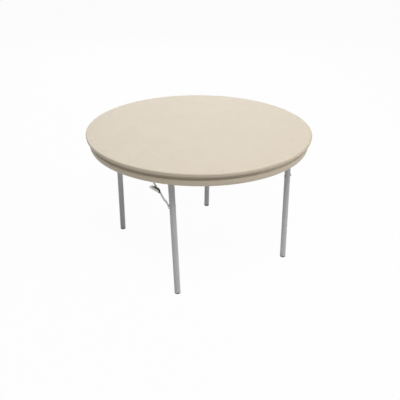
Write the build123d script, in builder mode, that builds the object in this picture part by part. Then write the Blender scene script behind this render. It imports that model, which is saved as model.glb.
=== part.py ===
"""Round folding table: a moulded plastic top on two folding steel leg frames.

The origin is on the floor under the middle of the top, and +Z is up. X runs along the hinge
tubes, and Y is the way the frames fold. The wide frame hinges on the -Y side and folds towards
+Y. The narrow frame hinges on the +Y side and folds towards -Y, between the wide legs.
"""

from build123d import *
from math import atan2, cos, hypot, radians, sin, sqrt
import os

# Whole table
TABLE_HEIGHT = 737.0
TOP_DIAMETER = 1219.2
FOOT_CIRCLE_INSET = 101.6

# Rim of the top shell: depths below the top face, and insets from the rim
SHELL_WALL = 4.0
EDGE_ROUND = 5.0
LIP_HEIGHT = 16.0
LIP_TAPER = 2.5
COVE_START_INSET = 12.0
COVE_START_DEPTH = 18.0
COVE_INSET = 22.0
COVE_DEPTH = 28.5
COVE_END_INSET = 17.0
COVE_END_DEPTH = 39.0
SHOULDER_INSET = 15.0
SHOULDER_DEPTH = 46.5
APRON_HEM_INSET = 17.5
APRON_HEM_DEPTH = 62.0
APRON_FOOT_INSET = 20.6
APRON_DEPTH = 69.4
RETURN_FLANGE_WIDTH = 16.0

# Core board and the pan that closes the underside
GLUE_LINE = 0.1
CORE_THICKNESS = 19.0
CORE_RIM_GAP = 34.0
CORE_EDGE_CHAMFER = 2.0
PAN_WALL = 4.0
PAN_FLAT_INSET = 53.6
PAN_SLOPE_WIDTH = 14.0
PAN_RIM_INSET = 25.6
BEAD_HALF_WIDTH = 10.0
BEAD_DEPTH = 3.5
BEAD_SIDE_ANGLE = 45.0
RING_BEAD_START = 80.0
RING_BEAD_PITCH = 70.0
RING_BEAD_COUNT = 3
OUTER_BEAD_INSET = 20.0
SPOKE_BEAD_COUNT = 6
SPOKE_BEAD_ANGLE = 30.0
SPOKE_BEAD_CLEARANCE = 32.0
PAD_MARGIN = 4.0

# Leg frames
LEG_DIAMETER = 31.75
LEG_WALL = 1.6
WIDE_HALF_WIDTH = 362.0
NARROW_HALF_WIDTH = 311.0
WIDE_TOE_IN = 11.5
NARROW_TOE_IN = 2.0
WIDE_SPLAY = 34.0
NARROW_SPLAY = 8.0
HINGE_DROP = 22.0
HINGE_TUBE_DIAMETER = 25.4
HINGE_TUBE_WALL = 1.6
COPE_GAP = 0.1
PLUG_DOME = 2.0
PLUG_ROUND = 1.6
PLUG_SPIGOT = 10.0
PLUG_GAP = 0.1

# Foot caps
CAP_TREAD = 9.0
CAP_BASE_ROUND = 4.0
CAP_SPIGOT = 20.0
CAP_WALL = 2.5
CAP_GAP = 0.1

# Saddle bearings that hold the hinge tubes
WIDE_BEARING_OFFSET = 230.0
NARROW_BEARING_OFFSET = 190.0
TUBE_RUNNING_GAP = 0.1
BEARING_WIDTH = 44.0
BEARING_LENGTH = 64.0
BEARING_ROUND = 3.0
STRAP_WIDTH = 34.0
STRAP_THICKNESS = 2.5
STRAP_SCREW_PITCH = 44.0
STRAP_SCREW_SPACING = 18.0

# Brace links, in layers that are counted outwards from the side of the leg tube
PIVOT_BELOW_HINGE = 183.0
BRACE_REACH = 346.0
BRACE_PIVOT_DROP = 16.0
LINK_WIDTH = 14.0
LINK_THICKNESS = 3.0
LINK_LEG_GAP = 0.9
LAYER_GAP = 0.3
JOGGLE_STEP = 4.6
JOGGLE_START = 34.0
JOGGLE_LENGTH = 14.0
LEVER_REST_DIP = 7.0
LEVER_WIDTH = 12.0
LEVER_HEIGHT = 13.4
LEVER_WALL = 1.6
LEVER_OUTER_REACH = 47.0
LEVER_INNER_REACH = 60.0
LEVER_NOSE_ROUND = 5.0
LEVER_TAIL_SLANT = 2.0
LEVER_EAR_LENGTH = 64.0
LEVER_EAR_HEIGHT = 6.0
LEVER_EAR_ANGLE = 45.0
LEVER_TAB_LENGTH = 9.0
LEVER_TAB_ROUND = 4.0

# Rivets, bolts and screws
PIVOT_GAP = 0.1
RIVET_RADIUS = 3.0
RIVET_HEAD_RADIUS = 4.8
RIVET_HEAD_HEIGHT = 2.4
RIVET_HEAD_ROUND = 1.6
LEG_BOLT_RADIUS = 4.0
LEG_BOLT_HEAD_RADIUS = 8.0
LEG_BOLT_HEAD_HEIGHT = 3.4
LEG_BOLT_HEAD_ROUND = 2.2
LEG_BOLT_END = 0.4
PEENED_END_RADIUS = 5.2
PEENED_END_HEIGHT = 1.2
PEENED_END_ROUND = 0.8
SCREW_RADIUS = 2.4
SCREW_GAP = 0.05
SCREW_HEAD_RADIUS = 4.8
SCREW_HEAD_HEIGHT = 2.8
SCREW_HEAD_ROUND = 1.2
SCREW_BITE = 14.0

# Brace brackets under the top
BRACKET_THICKNESS = 3.0
BRACKET_LENGTH = 48.0
BRACKET_FOOT_WIDTH = 32.0
BRACKET_EAR_RADIUS = 9.0
BRACKET_CORNER_ROUND = 6.0
BRACKET_SCREW_PITCH = 30.0

OVERRUN = 5.0

# Levels and radii that follow from the sizes above
RIM_RADIUS = TOP_DIAMETER / 2
FOOT_CIRCLE_RADIUS = RIM_RADIUS - FOOT_CIRCLE_INSET
LEG_RADIUS = LEG_DIAMETER / 2
TUBE_RADIUS = HINGE_TUBE_DIAMETER / 2
APRON_BOTTOM = TABLE_HEIGHT - APRON_DEPTH
CORE_TOP = TABLE_HEIGHT - SHELL_WALL - GLUE_LINE
CORE_BOTTOM = CORE_TOP - CORE_THICKNESS
CORE_RADIUS = RIM_RADIUS - SHELL_WALL - COVE_INSET - CORE_RIM_GAP
UNDERSIDE = CORE_BOTTOM - GLUE_LINE - PAN_WALL
PAN_FLAT_RADIUS = RIM_RADIUS - PAN_FLAT_INSET
PAN_RIM_RADIUS = RIM_RADIUS - PAN_RIM_INSET
INNER_BEAD_RADII = [RING_BEAD_START + ring * RING_BEAD_PITCH for ring in range(RING_BEAD_COUNT)]
OUTER_BEAD_RADIUS = PAN_FLAT_RADIUS - OUTER_BEAD_INSET
HINGE_HEIGHT = UNDERSIDE - HINGE_DROP
BRACE_PIVOT_HEIGHT = UNDERSIDE - BRACE_PIVOT_DROP
STRAP_OUTER_RADIUS = TUBE_RADIUS + TUBE_RUNNING_GAP + STRAP_THICKNESS

# Layers of the brace, from the leg outwards
LOWER_LEG_LAYER = LINK_LEG_GAP
LOWER_ELBOW_LAYER = LOWER_LEG_LAYER + JOGGLE_STEP
UPPER_LAYER = LOWER_ELBOW_LAYER + LINK_THICKNESS + LAYER_GAP
LEVER_LAYER = UPPER_LAYER + LINK_THICKNESS + LAYER_GAP
BRACKET_LAYER = LEVER_LAYER


class Frame:
    """Places of one leg frame: its hinge, its legs and the pivots of its braces."""

    def __init__(self, name, half_width, toe_in, splay, inward, bearing_offset, brace_outside):
        self.name = name
        self.half_width = half_width
        self.inward = inward
        self.bearing_offset = bearing_offset
        # The feet stand on one circle, and each leg leans out along Y and a little in along X.
        foot_y = sqrt(FOOT_CIRCLE_RADIUS**2 - (half_width - toe_in) ** 2)
        self.hinge_y = -inward * (foot_y - splay)
        self.leg_run = Vector(-toe_in, -inward * splay, -HINGE_HEIGHT)
        self.lean = atan2(splay, HINGE_HEIGHT)
        # The brace stands outside the wide legs and inside the narrow ones.
        self.brace_side = 1 if brace_outside else -1
        self.outwards = Axis((0, 0, 0), (self.brace_side, 0, 0))
        drop_share = PIVOT_BELOW_HINGE * cos(self.lean) / HINGE_HEIGHT
        self.face_x = half_width - toe_in * drop_share + self.brace_side * LEG_RADIUS
        # Pivots of the open brace, as distance inwards from the hinge and height.
        self.leg_pivot = (
            -PIVOT_BELOW_HINGE * sin(self.lean),
            HINGE_HEIGHT - PIVOT_BELOW_HINGE * cos(self.lean),
        )
        self.top_pivot = (BRACE_REACH, BRACE_PIVOT_HEIGHT)
        rise = self.top_pivot[1] - self.leg_pivot[1]
        open_reach = hypot(self.top_pivot[0] - self.leg_pivot[0], rise)
        folded_reach = hypot(BRACE_REACH - PIVOT_BELOW_HINGE, BRACE_PIVOT_HEIGHT - HINGE_HEIGHT)
        # Straight when the table stands, and folded back on itself when the legs are away.
        self.lower_length = (open_reach - folded_reach) / 2
        self.upper_length = (open_reach + folded_reach) / 2
        self.brace_angle = atan2(rise, self.top_pivot[0] - self.leg_pivot[0])
        self.elbow = (
            self.leg_pivot[0] + self.lower_length * cos(self.brace_angle),
            self.leg_pivot[1] + self.lower_length * sin(self.brace_angle),
        )

    def side_plane(self, layer=0.0):
        """Plane on the braced side of the right leg: x inwards, y up, z away from the leg."""
        face = self.face_x + self.brace_side * layer
        return Plane(
            origin=(face, self.hinge_y, 0),
            x_dir=(0, self.inward, 0),
            z_dir=(self.brace_side, 0, 0),
        )

    def link_plane(self, pivot, angle, layer=0.0):
        """Side plane moved to a pivot, with x turned up by an angle along a link."""
        side = self.side_plane(layer)
        return Plane(
            origin=side.from_local_coords((*pivot, 0)),
            x_dir=side.x_dir * cos(angle) + side.y_dir * sin(angle),
            z_dir=side.z_dir,
        )

    def leg_plane(self):
        """Plane on the hinge axis in the right leg, looking down along the leg."""
        return Plane(
            origin=(self.half_width, self.hinge_y, HINGE_HEIGHT),
            x_dir=Vector(0, 1, 0).cross(self.leg_run),
            z_dir=self.leg_run,
        )

    def bearing_places(self):
        return [(side * self.bearing_offset, self.hinge_y) for side in (-1, 1)]


FRAMES = (
    Frame("wide", WIDE_HALF_WIDTH, WIDE_TOE_IN, WIDE_SPLAY, 1, WIDE_BEARING_OFFSET, True),
    Frame("narrow", NARROW_HALF_WIDTH, NARROW_TOE_IN, NARROW_SPLAY, -1, NARROW_BEARING_OFFSET, False),
)


def save(part, node):
    """Label one finished piece and write it as parts/NODE.step."""
    part.label = node
    export_step(part, f"parts/{node}.step")


def save_pair(part, name, piece):
    """Write the right-hand piece and its mirrored left-hand twin."""
    save(part, f"{name}_right_{piece}")
    save(mirror(part, about=Plane.YZ), f"{name}_left_{piece}")


def strap_screw_places(frame):
    """Four screws in each of the two straps of a frame, seen from above."""
    places = []
    for x, y in frame.bearing_places():
        for along in (-1, 1):
            for across in (-1, 1):
                places.append(
                    (x + along * STRAP_SCREW_SPACING / 2, y + across * STRAP_SCREW_PITCH / 2)
                )
    return places


def bracket_screw_places(frame):
    """Two screws in the foot of each brace bracket of a frame, seen from above."""
    foot_middle = BRACKET_LAYER + (BRACKET_THICKNESS + BRACKET_FOOT_WIDTH) / 2
    x = frame.face_x + frame.brace_side * foot_middle
    y = frame.hinge_y + frame.inward * BRACE_REACH
    offset = BRACKET_SCREW_PITCH / 2
    return [(side * x, y + along * offset) for side in (-1, 1) for along in (-1, 1)]


def all_screw_places():
    places = []
    for frame in FRAMES:
        places += strap_screw_places(frame) + bracket_screw_places(frame)
    return places


def rim_point(inset, depth):
    return (RIM_RADIUS - inset, TABLE_HEIGHT - depth)


def rim_section():
    """Half section of the top: crowned lip, cove and apron, run on past the apron's foot."""
    bottom = APRON_BOTTOM - SHELL_WALL - OVERRUN
    with BuildSketch(Plane.XZ) as section:
        with BuildLine():
            Line((0, TABLE_HEIGHT), rim_point(EDGE_ROUND, 0))
            RadiusArc(rim_point(EDGE_ROUND, 0), rim_point(0, EDGE_ROUND), EDGE_ROUND)
            Line(rim_point(0, EDGE_ROUND), rim_point(LIP_TAPER, LIP_HEIGHT))
            Line(rim_point(LIP_TAPER, LIP_HEIGHT), rim_point(COVE_START_INSET, COVE_START_DEPTH))
            ThreePointArc(
                rim_point(COVE_START_INSET, COVE_START_DEPTH),
                rim_point(COVE_INSET, COVE_DEPTH),
                rim_point(COVE_END_INSET, COVE_END_DEPTH),
            )
            Polyline(
                rim_point(COVE_END_INSET, COVE_END_DEPTH),
                rim_point(SHOULDER_INSET, SHOULDER_DEPTH),
                rim_point(APRON_HEM_INSET, APRON_HEM_DEPTH),
                rim_point(APRON_FOOT_INSET, APRON_DEPTH),
                (RIM_RADIUS - APRON_FOOT_INSET, bottom),
                (0, bottom),
                (0, TABLE_HEIGHT),
            )
        make_face()
    return section.sketch


def make_tabletop_shell():
    """Moulded plastic top: one skin of even thickness with a flange turned in at its foot."""
    solid_section = rim_section()
    with BuildSketch(Plane.XZ) as cavity:
        add(solid_section)
        mirror(about=Plane.YZ)
        offset(amount=-SHELL_WALL, mode=Mode.REPLACE)
    with BuildPart() as tabletop_shell:
        with BuildSketch(Plane.XZ):
            add(solid_section)
            add(cavity.sketch, mode=Mode.SUBTRACT)
            with Locations((0, APRON_BOTTOM)):
                Rectangle(
                    TOP_DIAMETER,
                    2 * (SHELL_WALL + OVERRUN),
                    align=(Align.CENTER, Align.MAX),
                    mode=Mode.SUBTRACT,
                )
            with Locations((RIM_RADIUS - APRON_FOOT_INSET, APRON_BOTTOM)):
                Rectangle(RETURN_FLANGE_WIDTH, SHELL_WALL, align=(Align.MAX, Align.MIN))
        revolve(axis=Axis.Z)
    return tabletop_shell.part


def spoke_outline(half_width):
    """Plan of the spoke beads, which stop at the flat pads that the saddle blocks stand on."""
    start = INNER_BEAD_RADII[-1] + SPOKE_BEAD_CLEARANCE
    end = OUTER_BEAD_RADIUS - SPOKE_BEAD_CLEARANCE
    with BuildSketch() as outline:
        with PolarLocations((start + end) / 2, SPOKE_BEAD_COUNT, start_angle=SPOKE_BEAD_ANGLE):
            SlotCenterToCenter(end - start - 2 * BEAD_HALF_WIDTH, 2 * half_width)
        with Locations(*[place for frame in FRAMES for place in frame.bearing_places()]):
            Rectangle(
                BEARING_WIDTH + 2 * PAD_MARGIN,
                BEARING_LENGTH + 2 * PAD_MARGIN,
                mode=Mode.SUBTRACT,
            )
    return outline.sketch


def make_underside_pan():
    """Formed plastic pan under the core, with ring and spoke beads and a welded rim."""
    rim_level = APRON_BOTTOM + SHELL_WALL
    slope_end = PAN_FLAT_RADIUS + PAN_SLOPE_WIDTH
    bead_radius = (BEAD_HALF_WIDTH**2 + BEAD_DEPTH**2) / (2 * BEAD_DEPTH)
    bead_centre = UNDERSIDE - BEAD_DEPTH + bead_radius
    ring_places = [(ring, bead_centre) for ring in (*INNER_BEAD_RADII, OUTER_BEAD_RADIUS)]
    bead_outline = spoke_outline(BEAD_HALF_WIDTH)
    groove_outline = spoke_outline(BEAD_HALF_WIDTH - BEAD_DEPTH / 2)
    with BuildPart() as underside_pan:
        with BuildSketch(Plane.XZ):
            with BuildLine():
                Polyline(
                    (0, UNDERSIDE),
                    (PAN_FLAT_RADIUS, UNDERSIDE),
                    (slope_end, rim_level),
                    (PAN_RIM_RADIUS, rim_level),
                    (PAN_RIM_RADIUS, rim_level + PAN_WALL),
                    (slope_end + PAN_WALL, rim_level + PAN_WALL),
                    (PAN_FLAT_RADIUS + PAN_WALL, UNDERSIDE + PAN_WALL),
                    (0, UNDERSIDE + PAN_WALL),
                    close=True,
                )
            make_face()
            with Locations(*ring_places):
                Circle(bead_radius)
            with Locations((0, UNDERSIDE + PAN_WALL)):
                Rectangle(
                    2 * slope_end,
                    2 * bead_radius,
                    align=(Align.CENTER, Align.MIN),
                    mode=Mode.SUBTRACT,
                )
            with Locations(*ring_places):
                Circle(bead_radius - PAN_WALL, mode=Mode.SUBTRACT)
        revolve(axis=Axis.Z)
        with BuildSketch(Plane.XY.offset(UNDERSIDE)):
            add(bead_outline)
        extrude(amount=-BEAD_DEPTH, taper=BEAD_SIDE_ANGLE)
        with BuildSketch(Plane.XY.offset(UNDERSIDE + PAN_WALL)):
            add(groove_outline)
        extrude(amount=-BEAD_DEPTH, taper=BEAD_SIDE_ANGLE, mode=Mode.SUBTRACT)
        with Locations(*[(x, y, UNDERSIDE) for x, y in all_screw_places()]):
            Hole(SCREW_RADIUS + SCREW_GAP)
    return underside_pan.part


def make_core_board():
    """Board bonded between the top shell and the pan, with pilot holes for every screw."""
    with BuildPart() as core_board:
        with BuildSketch(Plane.XY.offset(CORE_BOTTOM)):
            Circle(CORE_RADIUS)
        extrude(amount=CORE_THICKNESS)
        chamfer(core_board.edges().filter_by(GeomType.CIRCLE), CORE_EDGE_CHAMFER)
        with BuildSketch(Plane.XY.offset(CORE_BOTTOM)):
            with Locations(*all_screw_places()):
                Circle(SCREW_RADIUS + SCREW_GAP)
        extrude(amount=SCREW_BITE + SCREW_GAP, mode=Mode.SUBTRACT)
    return core_board.part


def make_bearing_blocks(frame):
    """Moulded saddle blocks over the hinge tube, screwed against the underside."""
    height = UNDERSIDE - HINGE_HEIGHT
    with BuildPart() as bearing_blocks:
        with BuildSketch(Plane.XY.offset(HINGE_HEIGHT)):
            with Locations(*frame.bearing_places()):
                RectangleRounded(BEARING_WIDTH, BEARING_LENGTH, BEARING_ROUND)
        extrude(amount=height)
        with BuildSketch(Plane.YZ):
            with Locations((frame.hinge_y, HINGE_HEIGHT)):
                Circle(TUBE_RADIUS + TUBE_RUNNING_GAP)
        extrude(amount=frame.half_width, both=True, mode=Mode.SUBTRACT)
        with BuildSketch(Plane.XY.offset(HINGE_HEIGHT)):
            with Locations(*strap_screw_places(frame)):
                Circle(SCREW_RADIUS + SCREW_GAP)
        extrude(amount=height, mode=Mode.SUBTRACT)
    return bearing_blocks.part


def make_hinge_straps(frame):
    """Pressed straps that close the saddle blocks under the hinge tube."""
    with BuildPart() as hinge_straps:
        with BuildSketch(Plane.YZ):
            with Locations((frame.hinge_y, HINGE_HEIGHT)):
                Circle(STRAP_OUTER_RADIUS)
                Rectangle(
                    BEARING_LENGTH,
                    STRAP_THICKNESS,
                    align=(Align.CENTER, Align.MAX),
                )
                Circle(TUBE_RADIUS + TUBE_RUNNING_GAP, mode=Mode.SUBTRACT)
                Rectangle(
                    BEARING_LENGTH,
                    2 * STRAP_OUTER_RADIUS,
                    align=(Align.CENTER, Align.MIN),
                    mode=Mode.SUBTRACT,
                )
        extrude(amount=frame.bearing_offset + STRAP_WIDTH / 2, both=True)
        with BuildSketch(Plane.YZ):
            with Locations((frame.hinge_y, HINGE_HEIGHT)):
                Rectangle(BEARING_LENGTH + OVERRUN, 2 * STRAP_OUTER_RADIUS + OVERRUN)
        extrude(
            amount=frame.bearing_offset - STRAP_WIDTH / 2,
            both=True,
            mode=Mode.SUBTRACT,
        )
        with BuildSketch(Plane.XY.offset(HINGE_HEIGHT)):
            with Locations(*strap_screw_places(frame)):
                Circle(SCREW_RADIUS + SCREW_GAP)
        extrude(amount=-STRAP_THICKNESS, mode=Mode.SUBTRACT)
    return hinge_straps.part


def make_screws(places, seat):
    """Pan-head screws driven up from a seat level into the core board."""
    tip = CORE_BOTTOM + SCREW_BITE
    with BuildPart() as screws:
        with BuildSketch(Plane.XY.offset(seat)):
            with Locations(*places):
                Circle(SCREW_HEAD_RADIUS)
        extrude(amount=-SCREW_HEAD_HEIGHT)
        rim = screws.edges().filter_by(GeomType.CIRCLE).group_by(Axis.Z)[0]
        fillet(rim, SCREW_HEAD_ROUND)
        with BuildSketch(Plane.XY.offset(seat)):
            with Locations(*places):
                Circle(SCREW_RADIUS)
        extrude(amount=tip - seat)
    return screws.part


def make_hinge_tube(frame):
    """Cross tube on the hinge axis, between the outer faces of the two legs."""
    with BuildPart() as hinge_tube:
        with BuildSketch(Plane.YZ):
            with Locations((frame.hinge_y, HINGE_HEIGHT)):
                Circle(TUBE_RADIUS)
                Circle(TUBE_RADIUS - HINGE_TUBE_WALL, mode=Mode.SUBTRACT)
        extrude(amount=frame.half_width + LEG_RADIUS, both=True)
    return hinge_tube.part


def make_tube_plugs(frame):
    """Domed plastic plugs in the two ends of the hinge tube."""
    end = frame.half_width + LEG_RADIUS
    spigot = TUBE_RADIUS - HINGE_TUBE_WALL - PLUG_GAP
    with BuildPart() as tube_plugs:
        with BuildSketch(Plane.YZ.offset(end)):
            with Locations((frame.hinge_y, HINGE_HEIGHT)):
                Circle(TUBE_RADIUS)
        extrude(amount=PLUG_DOME)
        dome = tube_plugs.edges().sort_by(Axis.X)[-1]
        fillet(dome, PLUG_ROUND)
        with BuildSketch(Plane.YZ.offset(end)):
            with Locations((frame.hinge_y, HINGE_HEIGHT)):
                Circle(spigot)
        extrude(amount=-PLUG_SPIGOT)
        mirror(about=Plane.YZ)
    return tube_plugs.part


def make_leg(frame):
    """Right leg: a tube coped over the hinge tube, drilled for its brace bolt."""
    tube_end = frame.leg_run.length - CAP_TREAD
    with BuildPart() as leg:
        with BuildSketch(frame.leg_plane()):
            Circle(LEG_RADIUS)
            Circle(LEG_RADIUS - LEG_WALL, mode=Mode.SUBTRACT)
        extrude(amount=tube_end)
        with BuildSketch(Plane.YZ.offset(frame.half_width - LEG_RADIUS - OVERRUN)):
            with Locations((frame.hinge_y, HINGE_HEIGHT)):
                Circle(TUBE_RADIUS + COPE_GAP)
        extrude(amount=LEG_DIAMETER + 2 * OVERRUN, mode=Mode.SUBTRACT)
        with BuildSketch(frame.side_plane(OVERRUN)):
            with Locations(frame.leg_pivot):
                Circle(LEG_BOLT_RADIUS + PIVOT_GAP)
        extrude(amount=-LEG_DIAMETER - 2 * OVERRUN, mode=Mode.SUBTRACT)
    return leg.part


def make_foot_cap(frame):
    """Right foot cap: a moulded plug pushed up into the leg, its tread level with the floor."""
    tread_plane = frame.leg_plane().offset(frame.leg_run.length - CAP_TREAD + CAP_GAP)
    spigot = LEG_RADIUS - LEG_WALL - CAP_GAP
    with BuildPart() as foot_cap:
        with BuildSketch(tread_plane):
            Circle(LEG_RADIUS)
        extrude(amount=CAP_TREAD + LEG_RADIUS)
        split(bisect_by=Plane.XY, keep=Keep.TOP)
        base = foot_cap.edges().group_by(Axis.Z)[0]
        fillet(base, CAP_BASE_ROUND)
        with BuildSketch(tread_plane):
            Circle(spigot)
            Circle(spigot - CAP_WALL, mode=Mode.SUBTRACT)
        extrude(amount=-CAP_SPIGOT)
    return foot_cap.part


def make_leg_bolt(frame):
    """Bolt shank through the right leg, its far end peened over on the side without a brace."""
    peened_seat = -LEG_DIAMETER - LAYER_GAP
    with BuildPart() as leg_bolt:
        with BuildSketch(frame.side_plane(peened_seat)):
            with Locations(frame.leg_pivot):
                Circle(PEENED_END_RADIUS)
        extrude(amount=-PEENED_END_HEIGHT)
        end_face = leg_bolt.faces().sort_by(frame.outwards)[0]
        fillet(end_face.edges(), PEENED_END_ROUND)
        with BuildSketch(frame.side_plane(LEG_BOLT_END)):
            with Locations(frame.leg_pivot):
                Circle(LEG_BOLT_RADIUS)
        extrude(amount=peened_seat - LEG_BOLT_END)
    return leg_bolt.part


def make_lower_link(frame):
    """Lower brace link: a flat bar that steps outwards to clear its own bolt head when folded."""
    half = LINK_WIDTH / 2
    length = frame.lower_length
    link_plane = frame.link_plane(frame.leg_pivot, frame.brace_angle)
    edge_plane = Plane(
        origin=link_plane.origin,
        x_dir=link_plane.x_dir,
        z_dir=link_plane.x_dir.cross(link_plane.z_dir),
    )
    inner = [
        (-half - OVERRUN, LOWER_LEG_LAYER),
        (JOGGLE_START, LOWER_LEG_LAYER),
        (JOGGLE_START + JOGGLE_LENGTH, LOWER_ELBOW_LAYER),
        (length + half + OVERRUN, LOWER_ELBOW_LAYER),
    ]
    outer = [(x, y + LINK_THICKNESS) for x, y in reversed(inner)]
    with BuildPart() as lower_link:
        with BuildSketch(edge_plane):
            with BuildLine():
                Polyline(*inner, *outer, close=True)
            make_face()
        extrude(amount=LINK_WIDTH, both=True)
        with BuildSketch(link_plane):
            with Locations((length / 2, 0)):
                SlotCenterToCenter(length, LINK_WIDTH)
        extrude(amount=UPPER_LAYER, mode=Mode.INTERSECT)
        with BuildSketch(link_plane):
            Circle(LEG_BOLT_RADIUS + PIVOT_GAP)
            with Locations((length, 0)):
                Circle(RIVET_RADIUS + PIVOT_GAP)
        extrude(amount=UPPER_LAYER, mode=Mode.SUBTRACT)
    return lower_link.part


def make_lower_pivot(frame):
    """Bolt head and shank end that the lower link turns on at the leg."""
    head_seat = LOWER_LEG_LAYER + LINK_THICKNESS
    with BuildPart() as lower_pivot:
        with BuildSketch(frame.side_plane(head_seat)):
            with Locations(frame.leg_pivot):
                Circle(LEG_BOLT_HEAD_RADIUS)
        extrude(amount=LEG_BOLT_HEAD_HEIGHT)
        head_face = lower_pivot.faces().sort_by(frame.outwards)[-1]
        fillet(head_face.edges(), LEG_BOLT_HEAD_ROUND)
        with BuildSketch(frame.side_plane(LOWER_LEG_LAYER)):
            with Locations(frame.leg_pivot):
                Circle(LEG_BOLT_RADIUS)
        extrude(amount=LINK_THICKNESS)
    return lower_pivot.part


def make_upper_link(frame):
    """Upper brace link: a flat bar from the elbow to the bracket under the top."""
    length = frame.upper_length
    with BuildPart() as upper_link:
        with BuildSketch(frame.link_plane(frame.elbow, frame.brace_angle, UPPER_LAYER)):
            with Locations((length / 2, 0)):
                SlotCenterToCenter(length, LINK_WIDTH)
            Circle(RIVET_RADIUS + SCREW_GAP, mode=Mode.SUBTRACT)
            with Locations((length, 0)):
                Circle(RIVET_RADIUS + PIVOT_GAP, mode=Mode.SUBTRACT)
        extrude(amount=LINK_THICKNESS)
    return upper_link.part


def make_rivet(frame, place, inner_seat, outer_seat):
    """Rivet across the layers between two seats, with a domed head beyond each."""
    with BuildPart() as rivet:
        for layer in (inner_seat - RIVET_HEAD_HEIGHT, outer_seat):
            with BuildSketch(frame.side_plane(layer)):
                with Locations(place):
                    Circle(RIVET_HEAD_RADIUS)
            extrude(amount=RIVET_HEAD_HEIGHT)
        rims = rivet.edges().filter_by(GeomType.CIRCLE).group_by(Axis.X)
        fillet(rims[0] + rims[-1], RIVET_HEAD_ROUND)
        with BuildSketch(frame.side_plane(inner_seat)):
            with Locations(place):
                Circle(RIVET_RADIUS)
        extrude(amount=outer_seat - inner_seat)
    return rivet.part


def make_lock_lever(frame):
    """Lock lever: a channel open at the top, hung on the elbow rivet by an ear in its wall."""
    lever_plane = frame.link_plane(frame.elbow, -radians(LEVER_REST_DIP), LEVER_LAYER)
    half = LEVER_HEIGHT / 2
    tail = -LEVER_OUTER_REACH + LEVER_TAB_LENGTH
    tab_plane = Plane(
        origin=lever_plane.from_local_coords((tail, -half, LEVER_WIDTH / 2)),
        x_dir=lever_plane.x_dir,
        z_dir=lever_plane.y_dir,
    )
    with BuildPart() as lock_lever:
        with BuildSketch(lever_plane):
            with BuildLine():
                Polyline(
                    (tail, -half),
                    (LEVER_INNER_REACH, -half),
                    (LEVER_INNER_REACH, half),
                    (tail + LEVER_TAIL_SLANT, half),
                    close=True,
                )
            sheet = make_face()
            nose = sheet.vertices().group_by(Axis.X)[-1].sort_by(Axis.Y)[-1]
            fillet(nose, LEVER_NOSE_ROUND)
        extrude(amount=LEVER_WIDTH)
        with BuildSketch(lever_plane.offset(LEVER_WALL)):
            with Locations((tail - OVERRUN, -half + LEVER_WALL)):
                Rectangle(
                    LEVER_INNER_REACH - tail + 2 * OVERRUN,
                    LEVER_HEIGHT,
                    align=(Align.MIN, Align.MIN),
                )
        extrude(amount=LEVER_WIDTH - 2 * LEVER_WALL, mode=Mode.SUBTRACT)
        with BuildSketch(lever_plane):
            with Locations((0, half)):
                Trapezoid(
                    LEVER_EAR_LENGTH,
                    LEVER_EAR_HEIGHT,
                    LEVER_EAR_ANGLE,
                    align=(Align.CENTER, Align.MIN),
                )
        extrude(amount=LEVER_WALL)
        with BuildSketch(tab_plane):
            RectangleRounded(2 * LEVER_TAB_LENGTH, LEVER_WIDTH, LEVER_TAB_ROUND)
        extrude(amount=LEVER_WALL)
        with BuildSketch(lever_plane):
            Circle(RIVET_RADIUS + PIVOT_GAP)
        extrude(amount=LEVER_WALL, mode=Mode.SUBTRACT)
    return lock_lever.part


def make_bracket(frame):
    """Right brace bracket: a foot screwed under the top, and an ear for the brace pin."""
    ear_plane = frame.side_plane(BRACKET_LAYER)
    foot_bottom = UNDERSIDE - BRACKET_THICKNESS
    with BuildPart() as bracket:
        with BuildSketch(ear_plane):
            with Locations(frame.top_pivot):
                Circle(BRACKET_EAR_RADIUS)
            with BuildLine():
                Polyline(
                    (BRACE_REACH - BRACKET_LENGTH / 2, UNDERSIDE),
                    (BRACE_REACH - BRACKET_LENGTH / 2, foot_bottom),
                    (BRACE_REACH - BRACKET_EAR_RADIUS, BRACE_PIVOT_HEIGHT),
                    (BRACE_REACH + BRACKET_EAR_RADIUS, BRACE_PIVOT_HEIGHT),
                    (BRACE_REACH + BRACKET_LENGTH / 2, foot_bottom),
                    (BRACE_REACH + BRACKET_LENGTH / 2, UNDERSIDE),
                    close=True,
                )
            make_face()
            with Locations(frame.top_pivot):
                Circle(RIVET_RADIUS + SCREW_GAP, mode=Mode.SUBTRACT)
        extrude(amount=BRACKET_THICKNESS)
        with BuildSketch(ear_plane):
            with Locations((BRACE_REACH, UNDERSIDE)):
                Rectangle(BRACKET_LENGTH, BRACKET_THICKNESS, align=(Align.CENTER, Align.MAX))
        extrude(amount=BRACKET_FOOT_WIDTH)
        far_side = bracket.faces().sort_by(frame.outwards)[-1]
        fillet(far_side.edges().filter_by(Axis.Z), BRACKET_CORNER_ROUND)
        side_places = [(x, y) for x, y in bracket_screw_places(frame) if x > 0]
        with BuildSketch(Plane.XY.offset(UNDERSIDE)):
            with Locations(*side_places):
                Circle(SCREW_RADIUS + SCREW_GAP)
        extrude(amount=-BRACKET_THICKNESS, mode=Mode.SUBTRACT)
    return bracket.part


def save_table_pieces(frame):
    """Everything of one frame's hinge and brace mounts that is fixed to the top."""
    strap_seat = HINGE_HEIGHT - STRAP_THICKNESS
    bracket_seat = UNDERSIDE - BRACKET_THICKNESS
    save(make_bearing_blocks(frame), f"{frame.name}_bearing_blocks")
    save(make_hinge_straps(frame), f"{frame.name}_hinge_straps")
    save(make_screws(strap_screw_places(frame), strap_seat), f"{frame.name}_strap_screws")
    save(make_screws(bracket_screw_places(frame), bracket_seat), f"{frame.name}_bracket_screws")
    save_pair(make_bracket(frame), frame.name, "bracket")
    bracket_pin = make_rivet(
        frame,
        frame.top_pivot,
        UPPER_LAYER - LAYER_GAP,
        BRACKET_LAYER + BRACKET_THICKNESS,
    )
    save_pair(bracket_pin, frame.name, "bracket_pin")


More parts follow.
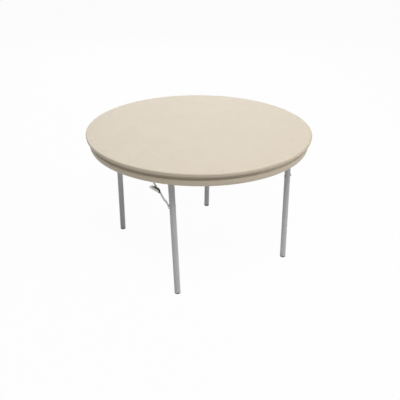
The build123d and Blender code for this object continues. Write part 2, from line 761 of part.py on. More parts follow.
def save_frame_pieces(frame):
    """Everything that swings with one leg frame."""
    save(make_hinge_tube(frame), f"{frame.name}_hinge_tube")
    save(make_tube_plugs(frame), f"{frame.name}_tube_plugs")
    save_pair(make_leg(frame), frame.name, "leg")
    save_pair(make_foot_cap(frame), frame.name, "foot_cap")
    save_pair(make_leg_bolt(frame), frame.name, "leg_bolt")


def save_brace_pieces(frame):
    """The two folding braces of one frame."""
    elbow_rivet = make_rivet(
        frame,
        frame.elbow,
        LOWER_ELBOW_LAYER - LAYER_GAP,
        LEVER_LAYER + LEVER_WALL + LAYER_GAP,
    )
    save_pair(make_lower_link(frame), frame.name, "lower_link")
    save_pair(make_lower_pivot(frame), frame.name, "lower_pivot")
    save_pair(make_upper_link(frame), frame.name, "upper_link")
    save_pair(elbow_rivet, frame.name, "elbow_rivet")
    save_pair(make_lock_lever(frame), frame.name, "lock_lever")


if __name__ == "__main__":
    os.makedirs("parts", exist_ok=True)
    save(make_tabletop_shell(), "tabletop_shell")
    save(make_core_board(), "core_board")
    save(make_underside_pan(), "underside_pan")
    for leg_frame in FRAMES:
        save_table_pieces(leg_frame)
        save_frame_pieces(leg_frame)
        save_brace_pieces(leg_frame)
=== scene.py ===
"""Dresses the round folding table: its plastics, powder coat, zinc plate, welds and screw heads."""

import math

import bmesh
import bpy
from mathutils import Matrix, Vector


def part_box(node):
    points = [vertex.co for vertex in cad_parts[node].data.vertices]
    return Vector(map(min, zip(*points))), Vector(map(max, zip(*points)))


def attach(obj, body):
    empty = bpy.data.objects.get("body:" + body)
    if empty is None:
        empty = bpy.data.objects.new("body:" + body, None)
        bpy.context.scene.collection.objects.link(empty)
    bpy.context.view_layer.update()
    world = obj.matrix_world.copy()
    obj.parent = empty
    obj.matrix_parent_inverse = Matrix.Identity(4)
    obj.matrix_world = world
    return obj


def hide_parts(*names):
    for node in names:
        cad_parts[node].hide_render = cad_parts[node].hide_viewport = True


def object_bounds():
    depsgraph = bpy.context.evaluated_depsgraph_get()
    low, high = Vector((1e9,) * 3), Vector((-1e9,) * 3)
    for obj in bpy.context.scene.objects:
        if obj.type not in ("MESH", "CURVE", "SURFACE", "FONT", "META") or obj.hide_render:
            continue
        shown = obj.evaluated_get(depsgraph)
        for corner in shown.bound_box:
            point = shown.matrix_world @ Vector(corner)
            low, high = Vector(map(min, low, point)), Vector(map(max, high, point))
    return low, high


bl_info = {
    "name": "Round Folding Table",
    "version": (1, 0, 0),
    "blender": (4, 5, 0),
    "location": "View3D > Sidebar > Table",
    "description": "Finishes, welds and fixings of a round folding table, with its studio",
    "category": "Object",
}

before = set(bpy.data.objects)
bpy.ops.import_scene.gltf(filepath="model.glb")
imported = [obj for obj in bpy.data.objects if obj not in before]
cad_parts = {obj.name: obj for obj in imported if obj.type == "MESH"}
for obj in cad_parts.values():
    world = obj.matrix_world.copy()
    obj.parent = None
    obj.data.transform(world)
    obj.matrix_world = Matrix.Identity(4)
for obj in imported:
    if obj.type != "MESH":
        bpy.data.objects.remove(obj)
CAD_LOW, CAD_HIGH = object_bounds()

MM = 0.001

# A pan head is rounded over this share of its height, and a flat land of this share of the
# space beside the cross recess is left round it. The recess narrows a little to its floor.
HEAD_ROUND_SHARE = 0.45
LAND_SHARE = 0.6
WALL_DRAFT = 0.05 * MM

# The rim of a recess swells along the two arms of its cross, the more sharply the higher this is.
CROSS_SHARPNESS = 3

# Ripples of a weld bead, counted round a whole turn of the tube
WELD_RIPPLES = 34

# Facets and steps of the round forms, and the angle above which an edge stays sharp
BEAD_FACETS = 8
BEAD_STEPS = 40
HEAD_FACETS = 32
HEAD_ROUND_STEPS = 4
SHANK_FACETS = 16
SHARP_ANGLE = math.radians(35)

# Patterns that belong to one material: widths in mm, and heights of their relief in metres
COAT_PATCH_WIDTH = 60.0
ORANGE_PEEL_HEIGHT = 0.15 * MM
ROLLING_LINE_WIDTH = 0.8
ROLLING_LINE_HEIGHT = 0.05 * MM
DUST_PATCH_WIDTH = 12.0
SPARK_GRAIN_HEIGHT = 0.1 * MM
VENEER_GRAIN_WIDTH = 4.0
VENEER_GRAIN_HEIGHT = 0.2 * MM
FLOOR_SPECKLE_WIDTH = 400.0

# Rolling lines and veneer grain are drawn out along the fold direction, which lies near the
# length of every link. There their pattern runs at this share of its scale.
ROLLING_STRETCH = 0.06
VENEER_STRETCH = 0.08

# Roughness of the brightest and the dullest spots, or of the whole surface
ABS_SHEEN = (0.44, 0.56)
COAT_SHEEN = (0.34, 0.46)
STEEL_SHEEN = (0.26, 0.48)
CAP_SHEEN = 0.5
BLOCK_SHEEN = 0.45
VENEER_SHEEN = 0.7

# The top is brightest and dullest where the pattern of its rubbed patches passes these levels.
RUB_LEVELS = (0.3, 0.7)

# Refractive indices of the polymers
ABS_INDEX = 1.53
NYLON_INDEX = 1.53
POLYESTER_INDEX = 1.5

# The white bloom on zinc takes away half of its metal look, and bare steel keeps all of it.
ZINC_METAL = 0.5
BARE_METAL = 1.0

SENSOR_WIDTH = 36.0
FLOOR_HALF_WIDTH = 12.0

# Legs and braces stand in four corners: two frames, and a right and a left side of each.
FRAME_NAMES = ("wide", "narrow")
SIDES = (("right", 1), ("left", -1))
CORNERS = [f"{name}_{side}" for name in FRAME_NAMES for side, _ in SIDES]


class TopFinish(bpy.types.PropertyGroup):
    """Colours and grain of the moulded top, of the pan under it and of the board between them."""

    colour: bpy.props.StringProperty(
        name="Top colour", description="Hex colour of the top skin", default="D1C4AE"
    )
    warm_colour: bpy.props.StringProperty(
        name="Top mottle", description="Hex colour of the warmer flow marks", default="CBBCA4"
    )
    pan_colour: bpy.props.StringProperty(
        name="Pan colour", description="Hex colour of the underside pan", default="C2B5A0"
    )
    grain: bpy.props.FloatProperty(
        name="Grain", description="Width of one pebble of the grain, in mm", default=1.6
    )
    relief: bpy.props.FloatProperty(
        name="Relief", description="Height of one pebble", default=0.3 * MM, unit="LENGTH"
    )
    flow_marks: bpy.props.FloatProperty(
        name="Flow marks", description="Width of the broad flow marks, in mm", default=140.0
    )
    scuffs: bpy.props.FloatProperty(
        name="Scuffs", description="Width of the rubbed patches, in mm", default=35.0
    )
    # Painted shade: a dark brown mixed into the top's colour where its hollows close in, such as
    # the groove under the rim.
    painted_shade_colour: bpy.props.StringProperty(
        name="Painted shade", description="Hex colour of the soil that gathers in grooves", default="4A3018"
    )
    # Reach of that painted shade: hollows up to about this width are darkened.
    painted_shade_reach: bpy.props.FloatProperty(
        name="Soil reach", description="Width of a groove that holds soil", default=24 * MM,
        unit="LENGTH",
    )
    veneer_colour: bpy.props.StringProperty(
        name="Veneer", description="Hex colour of the board's veneer", default="D2B58A"
    )
    veneer_dark: bpy.props.StringProperty(
        name="Veneer grain", description="Hex colour of its darker grain", default="B08F62"
    )


class SteelFinish(bpy.types.PropertyGroup):
    """Colours and surface of the coated tubes and of the plated brace parts."""

    coat_colour: bpy.props.StringProperty(
        name="Powder coat", description="Hex colour of the legs and tubes", default="C4C5C7"
    )
    coat_dark: bpy.props.StringProperty(
        name="Coat shade", description="Hex colour of the duller patches", default="B9BABC"
    )
    orange_peel: bpy.props.FloatProperty(
        name="Orange peel", description="Width of one ripple of the coat, in mm", default=1.3
    )
    plate_colour: bpy.props.StringProperty(
        name="Zinc plate", description="Hex colour of the plated steel", default="DADADA"
    )
    plate_dark: bpy.props.StringProperty(
        name="Zinc bloom", description="Hex colour of the dull bloom", default="BCBCBB"
    )
    hammered_colour: bpy.props.StringProperty(
        name="Hammered ends", description="Hex colour of the peened bolt ends", default="77777A"
    )
    hammered_dark: bpy.props.StringProperty(
        name="Hammer marks", description="Hex colour of the marks on them", default="56565A"
    )
    bloom: bpy.props.FloatProperty(
        name="Bloom", description="Width of one patch of dull bloom, in mm", default=9.0
    )
    hammer_marks: bpy.props.FloatProperty(
        name="Marks", description="Width of one hammer mark on a bolt end, in mm", default=2.5
    )


class PlasticFinish(bpy.types.PropertyGroup):
    """Colours of the small moulded parts."""

    cap_colour: bpy.props.StringProperty(
        name="Foot caps", description="Hex colour of caps and plugs", default="6C6C6B"
    )
    cap_dust: bpy.props.StringProperty(
        name="Dust on caps", description="Hex colour of the paler, dusty patches", default="7A7A78"
    )
    block_colour: bpy.props.StringProperty(
        name="Saddle blocks", description="Hex colour of the hinge blocks", default="3B3B3D"
    )
    block_dust: bpy.props.StringProperty(
        name="Dust on blocks", description="Hex colour of their dusty patches", default="4A4A4B"
    )
    mould_grain: bpy.props.FloatProperty(
        name="Mould grain", description="Width of the spark grain, in mm", default=0.9
    )


class Fixings(bpy.types.PropertyGroup):
    """Sizes of the welds and of the screw heads."""

    leg_radius: bpy.props.FloatProperty(
        name="Leg radius", description="Radius of a leg tube", default=15.875 * MM, unit="LENGTH"
    )
    bead_radius: bpy.props.FloatProperty(
        name="Weld bead", description="Radius of the bead", default=1.5 * MM, unit="LENGTH"
    )
    ripple: bpy.props.FloatProperty(
        name="Weld ripple", description="Height of the ripples", default=0.25 * MM, unit="LENGTH"
    )
    head_radius: bpy.props.FloatProperty(
        name="Head radius", description="Radius of a screw head", default=4.8 * MM, unit="LENGTH"
    )
    head_height: bpy.props.FloatProperty(
        name="Head height", description="Height of a screw head", default=2.8 * MM, unit="LENGTH"
    )
    shank_radius: bpy.props.FloatProperty(
        name="Shank radius", description="Radius of a screw", default=2.4 * MM, unit="LENGTH"
    )
    recess_width: bpy.props.FloatProperty(
        name="Recess width", description="Width of the cross", default=1.1 * MM, unit="LENGTH"
    )
    recess_reach: bpy.props.FloatProperty(
        name="Recess reach", description="Half length of the cross", default=2.6 * MM, unit="LENGTH"
    )
    recess_depth: bpy.props.FloatProperty(
        name="Recess depth", description="Depth of the cross", default=1.4 * MM, unit="LENGTH"
    )
    strap_screw_spacing: bpy.props.FloatProperty(
        name="Screw spacing", description="Along a strap's width", default=18 * MM, unit="LENGTH"
    )


class Studio(bpy.types.PropertyGroup):
    """Camera, lamps and floor."""

    camera_place: bpy.props.FloatVectorProperty(
        name="Camera", description="Where the camera stands", default=(-1.5942, -2.6159, 1.8572),
        unit="LENGTH",
    )
    camera_turns: bpy.props.FloatVectorProperty(
        name="Camera turns", description="Heading, downward pitch and roll",
        default=(math.radians(-31.509), math.radians(26.994), math.radians(0.398)),
        unit="ROTATION",
    )
    lens: bpy.props.FloatProperty(
        name="Lens", description="Focal length, in mm", default=53.424
    )
    front_power: bpy.props.FloatProperty(
        name="Front", description="Power of the softbox high in front, in watts", default=190.0
    )
    front_place: bpy.props.FloatVectorProperty(
        name="Front place", description="Where that softbox hangs", default=(-0.90, -3.03, 5.83),
        unit="LENGTH",
    )
    front_width: bpy.props.FloatProperty(
        name="Front width", description="Its diameter", default=3.2, unit="LENGTH"
    )
    side_power: bpy.props.FloatProperty(
        name="Side", description="Power of the softbox at the right, in watts", default=33.0
    )
    side_place: bpy.props.FloatVectorProperty(
        name="Side place", description="Where that softbox hangs", default=(2.6, -2.3, 2.4),
        unit="LENGTH",
    )
    side_width: bpy.props.FloatProperty(
        name="Side width", description="Its diameter", default=2.0, unit="LENGTH"
    )
    back_power: bpy.props.FloatProperty(
        name="Back", description="Power of the softbox behind the table, in watts", default=98.0
    )
    back_place: bpy.props.FloatVectorProperty(
        name="Back place", description="Where that softbox hangs", default=(2.2, 3.95, 3.1),
        unit="LENGTH",
    )
    back_width: bpy.props.FloatProperty(
        name="Back width", description="Its diameter", default=5.0, unit="LENGTH"
    )
    surround: bpy.props.FloatProperty(
        name="Surround", description="Strength of the light from all round", default=0.2
    )
    floor_colour: bpy.props.StringProperty(
        name="Floor", description="Hex colour of the floor", default="ECECEC"
    )
    floor_speckle: bpy.props.StringProperty(
        name="Floor speckle", description="Hex colour of its paler patches", default="EFEFEF"
    )
    floor_white: bpy.props.FloatProperty(
        name="Floor white", description="How much of the floor is plain white to the camera",
        default=0.965, min=0.0, max=1.0, subtype="FACTOR",
    )


class TableSettings(bpy.types.PropertyGroup):
    """All the table's settings, held by the scene."""

    top: bpy.props.PointerProperty(type=TopFinish)
    steel: bpy.props.PointerProperty(type=SteelFinish)
    plastic: bpy.props.PointerProperty(type=PlasticFinish)
    fixings: bpy.props.PointerProperty(type=Fixings)
    studio: bpy.props.PointerProperty(type=Studio)


def linear(hex_colour):
    """Turn an sRGB hex value into the linear colour that a shader takes."""
    channels = [int(hex_colour[place:place + 2], 16) / 255 for place in (0, 2, 4)]
    curve = [c / 12.92 if c <= 0.04045 else ((c + 0.055) / 1.055) ** 2.4 for c in channels]
    return (*curve, 1.0)


def per_metre(width_mm):
    """Texture scale at which one feature of a pattern is this many millimetres wide."""
    return 1 / (width_mm * MM)


def add_node(tree, kind, settings=None, inputs=None):
    """Add a node, set its properties, and set each input or link an output to it."""
    node = tree.nodes.new(kind)
    for name, value in (settings or {}).items():
        setattr(node, name, value)
    for name, value in (inputs or {}).items():
        if isinstance(value, bpy.types.NodeSocket):
            tree.links.new(value, node.inputs[name])
        else:
            node.inputs[name].default_value = value
    return node


def new_material(name):
    """Empty node material with its output, and the object coordinates that patterns read."""
    material = bpy.data.materials.new(name)
    material.use_nodes = True
    tree = material.node_tree
    tree.nodes.clear()
    coordinates = add_node(tree, "ShaderNodeTexCoord").outputs["Object"]
    return material, tree, coordinates


def finish_material(tree, surface):
    """Link a shader to the material's output."""
    add_node(tree, "ShaderNodeOutputMaterial", inputs={"Surface": surface.outputs[0]})


def noise(tree, place, width_mm, detail=2.0, roughness=0.5):
    """Cloudy pattern from 0 to 1, with features of about this width."""
    return add_node(tree, "ShaderNodeTexNoise", inputs={
        "Vector": place, "Scale": per_metre(width_mm), "Detail": detail, "Roughness": roughness,
    }).outputs["Fac"]


def drawn_out(tree, place, stretch):
    """Coordinates on which a pattern is drawn out along the fold direction."""
    return add_node(tree, "ShaderNodeMapping", inputs={
        "Vector": place, "Scale": (1.0, stretch, 1.0),
    }).outputs["Vector"]


def mix_colours(tree, share, first, second):
    """Colour that goes from the first to the second as the share goes from 0 to 1."""
    return add_node(tree, "ShaderNodeMix", {"data_type": "RGBA"}, {
        0: share, 6: first, 7: second,
    }).outputs[2]


def bump(tree, height, strength, distance, invert=False):
    """Surface normal that follows the relief of a pattern."""
    return add_node(tree, "ShaderNodeBump", {"invert": invert}, {
        "Height": height, "Strength": strength, "Distance": distance,
    }).outputs["Normal"]


def roughness_between(tree, pattern, sheen, levels=(0.0, 1.0)):
    """Roughness that follows a pattern from one end of a sheen to the other."""
    return add_node(tree, "ShaderNodeMapRange", inputs={
        "Value": pattern, "From Min": levels[0], "From Max": levels[1],
        "To Min": sheen[0], "To Max": sheen[1],
    }).outputs["Result"]


def moulded_abs(name, colour, warm_colour, finish):
    """Moulded ABS: a pebbled skin, faint flow marks, painted shade in its hollows and rubbed
    patches.
    """
    material, tree, place = new_material(name)
    flow_marks = noise(tree, place, finish.flow_marks, detail=3.0)
    mottle = mix_colours(tree, flow_marks, linear(colour), linear(warm_colour))
    # Painted shade: an ambient-occlusion mask turns the colour towards a dark brown where a hollow
    # of the piece closes in on itself, as in the groove under the rim.
    openness = add_node(tree, "ShaderNodeAmbientOcclusion", {"samples": 16, "only_local": True}, {
        "Distance": finish.painted_shade_reach,
    }).outputs["AO"]
    rubs = noise(tree, place, finish.scuffs, detail=6.0, roughness=0.6)
    pebbles = add_node(tree, "ShaderNodeTexVoronoi", {"feature": "SMOOTH_F1"}, {
        "Vector": place, "Scale": per_metre(finish.grain), "Smoothness": 0.6,
    }).outputs["Distance"]
    finish_material(tree, add_node(tree, "ShaderNodeBsdfPrincipled", inputs={
        "Base Color": mix_colours(tree, openness, linear(finish.painted_shade_colour), mottle),
        "Roughness": roughness_between(tree, rubs, ABS_SHEEN, RUB_LEVELS),
        "Normal": bump(tree, pebbles, strength=0.22, distance=finish.relief, invert=True),
        "IOR": ABS_INDEX, "Specular IOR Level": 0.75,
    }))
    return material


def powder_coat(name, finish):
    """Polyester powder coat on tube: an orange-peel skin with a satin sheen."""
    material, tree, place = new_material(name)
    patches = noise(tree, place, COAT_PATCH_WIDTH, detail=5.0)
    ripples = noise(tree, place, finish.orange_peel, detail=1.0)
    finish_material(tree, add_node(tree, "ShaderNodeBsdfPrincipled", inputs={
        "Base Color": mix_colours(
            tree, patches, linear(finish.coat_colour), linear(finish.coat_dark)
        ),
        "Roughness": roughness_between(tree, patches, COAT_SHEEN),
        "Normal": bump(tree, ripples, strength=0.25, distance=ORANGE_PEEL_HEIGHT),
        "IOR": POLYESTER_INDEX, "Coat Weight": 0.15, "Coat Roughness": 0.3,
    }))
    return material


def worked_steel(name, bright, dull, patch_width, metal):
    """Steel from strip or bar: a bright and a dull tone in patches, over fine rolling lines."""
    material, tree, place = new_material(name)
    patches = noise(tree, place, patch_width, detail=4.0, roughness=0.6)
    lines = noise(tree, drawn_out(tree, place, ROLLING_STRETCH), ROLLING_LINE_WIDTH)
    finish_material(tree, add_node(tree, "ShaderNodeBsdfPrincipled", inputs={
        "Base Color": mix_colours(tree, patches, linear(bright), linear(dull)),
        "Metallic": metal,
        "Roughness": roughness_between(tree, patches, STEEL_SHEEN),
        "Normal": bump(tree, lines, strength=0.15, distance=ROLLING_LINE_HEIGHT),
    }))
    return material


def zinc_plate(name, finish):
    """Zinc-plated steel of links, straps and screws: cool and pale, with a cloudy white bloom."""
    return worked_steel(name, finish.plate_colour, finish.plate_dark, finish.bloom, ZINC_METAL)


def hammered_steel(name, finish):
    """Bare steel of the peened bolt ends: dark, with the marks of the hammer."""
    return worked_steel(
        name, finish.hammered_colour, finish.hammered_dark, finish.hammer_marks, BARE_METAL
    )


def spark_grained_plastic(name, colour, dusty_colour, grain, sheen):
    """Moulded nylon or polyethylene with a fine spark-eroded grain, a little dusty."""
    material, tree, place = new_material(name)
    dust = noise(tree, place, DUST_PATCH_WIDTH, detail=4.0)
    grit = noise(tree, place, grain)
    finish_material(tree, add_node(tree, "ShaderNodeBsdfPrincipled", inputs={
        "Base Color": mix_colours(tree, dust, linear(colour), linear(dusty_colour)),
        "Roughness": sheen,
        "Normal": bump(tree, grit, strength=0.3, distance=SPARK_GRAIN_HEIGHT),
        "IOR": NYLON_INDEX,
    }))
    return material


def plywood(name, finish):
    """Poplar plywood: pale veneer with grain along the fold direction."""
    material, tree, place = new_material(name)
    grain = noise(
        tree, drawn_out(tree, place, VENEER_STRETCH), VENEER_GRAIN_WIDTH, detail=6.0
    )
    finish_material(tree, add_node(tree, "ShaderNodeBsdfPrincipled", inputs={
        "Base Color": mix_colours(
            tree, grain, linear(finish.veneer_colour), linear(finish.veneer_dark)
        ),
        "Roughness": VENEER_SHEEN,
        "Normal": bump(tree, grain, strength=0.2, distance=VENEER_GRAIN_HEIGHT),
    }))
    return material


def dress(material, *nodes):
    """Give CAD nodes a material in place of the one they came with."""
    for node in nodes:
        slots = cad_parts[node].material_slots
        if not slots:
            raise RuntimeError(f"{node} has no material slot")
        for held in slots:
            held.material = material


def make_piece(name, mesh, material):
    """Object at the origin for a finished bmesh, smooth shaded."""
    data = bpy.data.meshes.new(name)
    for face in mesh.faces:
        face.smooth = True
    mesh.to_mesh(data)
    mesh.free()
    data.materials.append(material)
    piece = bpy.data.objects.new(name, data)
    bpy.context.collection.objects.link(piece)
    return piece


class TABLE_OT_top(bpy.types.Operator):
    """Finish the moulded top, the board in it and the pan under it"""

    bl_idname = "table.top"
    bl_label = "Top"

    def execute(self, context):
        finish = context.scene.table_settings.top
        skin = moulded_abs("moulded_abs_top", finish.colour, finish.warm_colour, finish)
        pan = moulded_abs("formed_abs_pan", finish.pan_colour, finish.colour, finish)
        dress(skin, "tabletop_shell")
        dress(pan, "underside_pan")
        dress(plywood("poplar_plywood", finish), "core_board")
        return {"FINISHED"}


class TABLE_OT_frames(bpy.types.Operator):
    """Finish the powder-coated legs and hinge tubes, and the plastic caps and plugs"""

    bl_idname = "table.frames"
    bl_label = "Leg frames"

    def execute(self, context):
        settings = context.scene.table_settings
        coat = powder_coat("grey_powder_coat", settings.steel)
        plastic = settings.plastic
        caps = spark_grained_plastic(
            "grey_polyethylene", plastic.cap_colour, plastic.cap_dust, plastic.mould_grain,
            CAP_SHEEN,
        )
        dress(coat, *[f"{corner}_leg" for corner in CORNERS])
        dress(coat, *[f"{name}_hinge_tube" for name in FRAME_NAMES])
        dress(caps, *[f"{corner}_foot_cap" for corner in CORNERS])
        dress(caps, *[f"{name}_tube_plugs" for name in FRAME_NAMES])
        return {"FINISHED"}


class TABLE_OT_hinges(bpy.types.Operator):
    """Finish the saddle blocks and the straps that hold the hinge tubes"""

    bl_idname = "table.hinges"
    bl_label = "Hinges"

    def execute(self, context):
        settings = context.scene.table_settings
        plastic = settings.plastic
        blocks = spark_grained_plastic(
            "black_nylon", plastic.block_colour, plastic.block_dust, plastic.mould_grain,
            BLOCK_SHEEN,
        )
        plate = zinc_plate("zinc_plated_strap", settings.steel)
        dress(blocks, *[f"{name}_bearing_blocks" for name in FRAME_NAMES])
        dress(plate, *[f"{name}_hinge_straps" for name in FRAME_NAMES])
        return {"FINISHED"}


class TABLE_OT_braces(bpy.types.Operator):
    """Finish the folding braces, their levers, brackets, rivets and bolts"""

    bl_idname = "table.braces"
    bl_label = "Braces"

    def execute(self, context):
        steel = context.scene.table_settings.steel
        plate = zinc_plate("zinc_plated_steel", steel)
        hammered = hammered_steel("hammered_steel", steel)
        pieces = (
            "bracket", "bracket_pin", "lower_link", "lower_pivot", "upper_link", "elbow_rivet",
            "lock_lever",
        )
        dress(plate, *[f"{corner}_{piece}" for corner in CORNERS for piece in pieces])
        dress(hammered, *[f"{corner}_leg_bolt" for corner in CORNERS])
        return {"FINISHED"}


class TABLE_OT_welds(bpy.types.Operator):
    """Lay the weld beads between each leg and its hinge tube"""

    bl_idname = "table.welds"
    bl_label = "Welds"

    def execute(self, context):
        settings = context.scene.table_settings
        fixings = settings.fixings
        coat = powder_coat("grey_powder_coat_on_weld", settings.steel)
        for name in FRAME_NAMES:
            low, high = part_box(f"{name}_hinge_tube")
            tube_radius = (high[2] - low[2]) / 2
            leg_x = high[0] - fixings.leg_radius
            axis = Vector((0.0, (low[1] + high[1]) / 2, (low[2] + high[2]) / 2))
            for side, sign in SIDES:
                bead = self.bead(fixings, tube_radius, sign * leg_x, axis)
                piece = make_piece(f"{name}_{side}_weld", bead, coat)
                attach(piece, f"{name}_frame")
        return {"FINISHED"}

    def bead(self, fixings, tube_radius, leg_x, axis):
        """Two half rings round the tube, bent to the saddle line where the leg meets it."""
        both = bmesh.new()
        for outwards in (-1, 1):
            start = Vector((0.0, tube_radius, 0.0))
            ring = bmesh.ops.create_circle(
                both, segments=BEAD_FACETS, radius=fixings.bead_radius,
                matrix=Matrix.Translation(start),
            )["verts"]
            edges = list({edge for vert in ring for edge in vert.link_edges})
            bmesh.ops.spin(
                both, geom=ring + edges, cent=(0.0, 0.0, 0.0), axis=(1.0, 0.0, 0.0),
                angle=-math.pi, steps=BEAD_STEPS,
            )
            for vert in [v for v in both.verts if not v.tag]:
                vert.tag = True
                across = max(-tube_radius, min(tube_radius, vert.co.y))
                turn = math.atan2(-vert.co.z, vert.co.y)
                vert.co.x += outwards * math.sqrt(fixings.leg_radius**2 - across**2)
                swell = 1 + fixings.ripple / tube_radius * math.sin(WELD_RIPPLES * turn)
                vert.co.y *= swell
                vert.co.z *= swell
        ends = [edge for edge in both.edges if edge.is_boundary]
        bmesh.ops.holes_fill(both, edges=ends, sides=BEAD_FACETS)
        bmesh.ops.translate(both, verts=both.verts, vec=axis + Vector((leg_x, 0.0, 0.0)))
        bmesh.ops.recalc_face_normals(both, faces=both.faces)
        return both


class TABLE_OT_screws(bpy.types.Operator):
    """Model the cross-recessed screw heads under the straps and brackets"""

    bl_idname = "table.screws"
    bl_label = "Screws"

    def execute(self, context):
        settings = context.scene.table_settings
        plate = zinc_plate("zinc_plated_screw", settings.steel)
        fixings = settings.fixings
        reach = fixings.head_radius
        for name in FRAME_NAMES:
            for kind, spacing in (("strap", fixings.strap_screw_spacing), ("bracket", 0.0)):
                node = f"{name}_{kind}_screws"
                low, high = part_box(node)
                heads = bmesh.new()
                columns = {high[0] - reach, high[0] - reach - spacing}
                for x in sorted(columns):
                    for y in (low[1] + reach, high[1] - reach):
                        for _, sign in SIDES:
                            self.head(heads, fixings, Vector((sign * x, y, low[2])), high[2])
                piece = make_piece(node.replace("screws", "screw_heads"), heads, plate)
                piece.data.set_sharp_from_angle(angle=SHARP_ANGLE)
                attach(piece, "table")
                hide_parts(node)
        return {"FINISHED"}

    def head(self, heads, fixings, foot, tip_level):
        """Pan head with a cross recess, hanging from its seat, and its shank above."""
        height = fixings.head_height
        made = bmesh.ops.create_cone(
            heads, cap_ends=True, segments=HEAD_FACETS, radius1=fixings.head_radius,
            radius2=fixings.head_radius, depth=height,
            matrix=Matrix.Translation(foot + Vector((0.0, 0.0, height / 2))),
        )["verts"]
        rim = [
            edge for edge in {e for v in made for e in v.link_edges}
            if all(abs(v.co.z - foot.z) < height / 4 for v in edge.verts)
        ]
        bmesh.ops.bevel(
            heads, geom=rim, offset=height * HEAD_ROUND_SHARE, segments=HEAD_ROUND_STEPS,
            affect="EDGES", profile=0.5, material=-1,
        )
        under = min(
            (face for face in heads.faces if (face.calc_center_median().xy - foot.xy).length
             < fixings.recess_width and face.normal.z < 0),
            key=lambda face: face.calc_center_median().z,
        )
        self.recess(heads, fixings, under)
        bmesh.ops.create_cone(
            heads, cap_ends=True, segments=SHANK_FACETS, radius1=fixings.shank_radius,
            radius2=fixings.shank_radius, depth=tip_level - foot.z - height,
            matrix=Matrix.Translation(
                Vector((foot.x, foot.y, (tip_level + foot.z + height) / 2))
            ),
        )

    def recess(self, heads, fixings, under):
        """Inset the face under the head, draw its rim in to a cross and sink it."""
        land = LAND_SHARE * (fixings.head_radius - fixings.recess_reach)
        bmesh.ops.inset_individual(heads, faces=[under], thickness=land)
        centre = under.calc_center_median()
        for vert in under.verts:
            spoke = vert.co - centre
            angle = math.atan2(spoke.y, spoke.x)
            arm = abs(math.cos(2 * angle)) ** CROSS_SHARPNESS
            length = fixings.recess_width + arm * (fixings.recess_reach - fixings.recess_width)
            vert.co.x = centre.x + length * math.cos(angle)
            vert.co.y = centre.y + length * math.sin(angle)
        bmesh.ops.inset_individual(heads, faces=[under], thickness=WALL_DRAFT)
        bmesh.ops.translate(
            heads, verts=under.verts, vec=Vector((0.0, 0.0, fixings.recess_depth))
        )


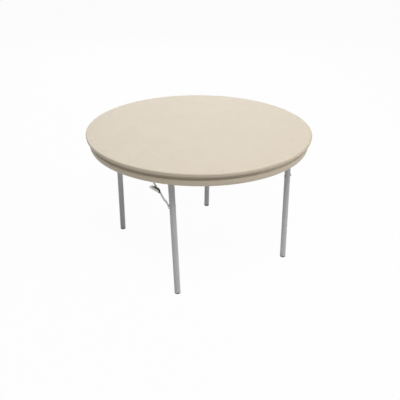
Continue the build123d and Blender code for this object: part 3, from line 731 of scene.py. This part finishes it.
class TABLE_OT_studio(bpy.types.Operator):
    """Set the floor, the soft lamps and the camera"""

    bl_idname = "table.studio"
    bl_label = "Studio"

    def execute(self, context):
        studio = context.scene.table_settings.studio
        context.scene.view_settings.view_transform = "Standard"
        self.floor(studio)
        self.surround(context, studio)
        self.lamp("front_softbox", studio.front_power, studio.front_place, studio.front_width)
        self.lamp("side_softbox", studio.side_power, studio.side_place, studio.side_width)
        self.lamp("back_softbox", studio.back_power, studio.back_place, studio.back_width)
        self.camera(context, studio)
        return {"FINISHED"}

    def camera(self, context, studio):
        """Stand the camera where the photograph was taken from."""
        data = bpy.data.cameras.new("photo_camera")
        data.lens = studio.lens
        data.sensor_width = SENSOR_WIDTH
        camera = bpy.data.objects.new("photo_camera", data)
        heading, pitch, roll = studio.camera_turns
        turn = (
            Matrix.Rotation(heading, 4, "Z")
            @ Matrix.Rotation(math.pi / 2 - pitch, 4, "X")
            @ Matrix.Rotation(roll, 4, "Z")
        )
        camera.matrix_world = Matrix.Translation(Vector(studio.camera_place)) @ turn
        context.collection.objects.link(camera)
        context.scene.camera = camera

    def seen_directly(self, tree):
        """1 for rays from the camera, a reflection or a transmission, and 0 for the rest."""
        path = add_node(tree, "ShaderNodeLightPath")
        glossy = add_node(tree, "ShaderNodeMath", {"operation": "MAXIMUM"}, {
            0: path.outputs["Is Camera Ray"], 1: path.outputs["Is Glossy Ray"],
        })
        return add_node(tree, "ShaderNodeMath", {"operation": "MAXIMUM"}, {
            0: glossy.outputs[0], 1: path.outputs["Is Transmission Ray"],
        }).outputs[0]

    def floor(self, studio):
        """Pale matt floor that keeps the table's shadow and looks almost plain white."""
        mesh = bmesh.new()
        bmesh.ops.create_grid(mesh, x_segments=1, y_segments=1, size=FLOOR_HALF_WIDTH)
        material, tree, place = new_material("studio_floor_paint")
        paint = mix_colours(
            tree, noise(tree, place, FLOOR_SPECKLE_WIDTH), linear(studio.floor_colour),
            linear(studio.floor_speckle),
        )
        matt = add_node(tree, "ShaderNodeBsdfDiffuse", inputs={"Color": paint})
        white = add_node(tree, "ShaderNodeEmission", inputs={"Strength": 1.0})
        share = add_node(tree, "ShaderNodeMath", {"operation": "MULTIPLY"}, {
            0: self.seen_directly(tree), 1: studio.floor_white,
        })
        finish_material(tree, add_node(tree, "ShaderNodeMixShader", inputs={
            0: share.outputs[0], 1: matt.outputs[0], 2: white.outputs[0],
        }))
        make_piece("studio_floor", mesh, material)

    def surround(self, context, studio):
        """Faint light from all round, with a background that looks white."""
        world = bpy.data.worlds.new("studio_surround")
        world.use_nodes = True
        tree = world.node_tree
        tree.nodes.clear()
        strength = add_node(tree, "ShaderNodeMapRange", inputs={
            "Value": self.seen_directly(tree), "To Min": studio.surround, "To Max": 1.0,
        })
        glow = add_node(tree, "ShaderNodeBackground", inputs={
            "Color": (1.0, 1.0, 1.0, 1.0), "Strength": strength.outputs["Result"],
        })
        add_node(tree, "ShaderNodeOutputWorld", inputs={"Surface": glow.outputs[0]})
        context.scene.world = world

    def lamp(self, name, power, place, width):
        """Round softbox at a place, aimed at the middle of the table."""
        data = bpy.data.lights.new(name, "AREA")
        data.shape = "DISK"
        data.size = width
        data.energy = power
        lamp = bpy.data.objects.new(name, data)
        lamp.location = place
        middle = (CAD_LOW + CAD_HIGH) / 2
        aim = Vector((0.0, 0.0, middle.z)) - Vector(place)
        lamp.rotation_euler = aim.to_track_quat("-Z", "Y").to_euler()
        bpy.context.collection.objects.link(lamp)


class TABLE_PT_panel(bpy.types.Panel):
    """The table's settings and steps"""

    bl_label = "Folding Table"
    bl_idname = "TABLE_PT_panel"
    bl_space_type = "VIEW_3D"
    bl_region_type = "UI"
    bl_category = "Table"

    def draw(self, context):
        settings = context.scene.table_settings
        for group in (settings.top, settings.steel, settings.plastic, settings.fixings,
                      settings.studio):
            box = self.layout.box()
            for name in group.__annotations__:
                box.prop(group, name)
        for step in OPERATORS:
            self.layout.operator(step.bl_idname)


GROUPS = (TopFinish, SteelFinish, PlasticFinish, Fixings, Studio, TableSettings)
OPERATORS = (
    TABLE_OT_top, TABLE_OT_frames, TABLE_OT_hinges, TABLE_OT_braces, TABLE_OT_welds,
    TABLE_OT_screws, TABLE_OT_studio,
)


def register():
    for item in (*GROUPS, *OPERATORS, TABLE_PT_panel):
        bpy.utils.register_class(item)
    bpy.types.Scene.table_settings = bpy.props.PointerProperty(type=TableSettings)


def unregister():
    del bpy.types.Scene.table_settings
    for item in reversed((*GROUPS, *OPERATORS, TABLE_PT_panel)):
        bpy.utils.unregister_class(item)


def main():
    register()
    bpy.ops.table.top()
    bpy.ops.table.frames()
    bpy.ops.table.hinges()
    bpy.ops.table.braces()
    bpy.ops.table.welds()
    bpy.ops.table.screws()
    bpy.ops.table.studio()


if __name__ == "__main__":
    main()
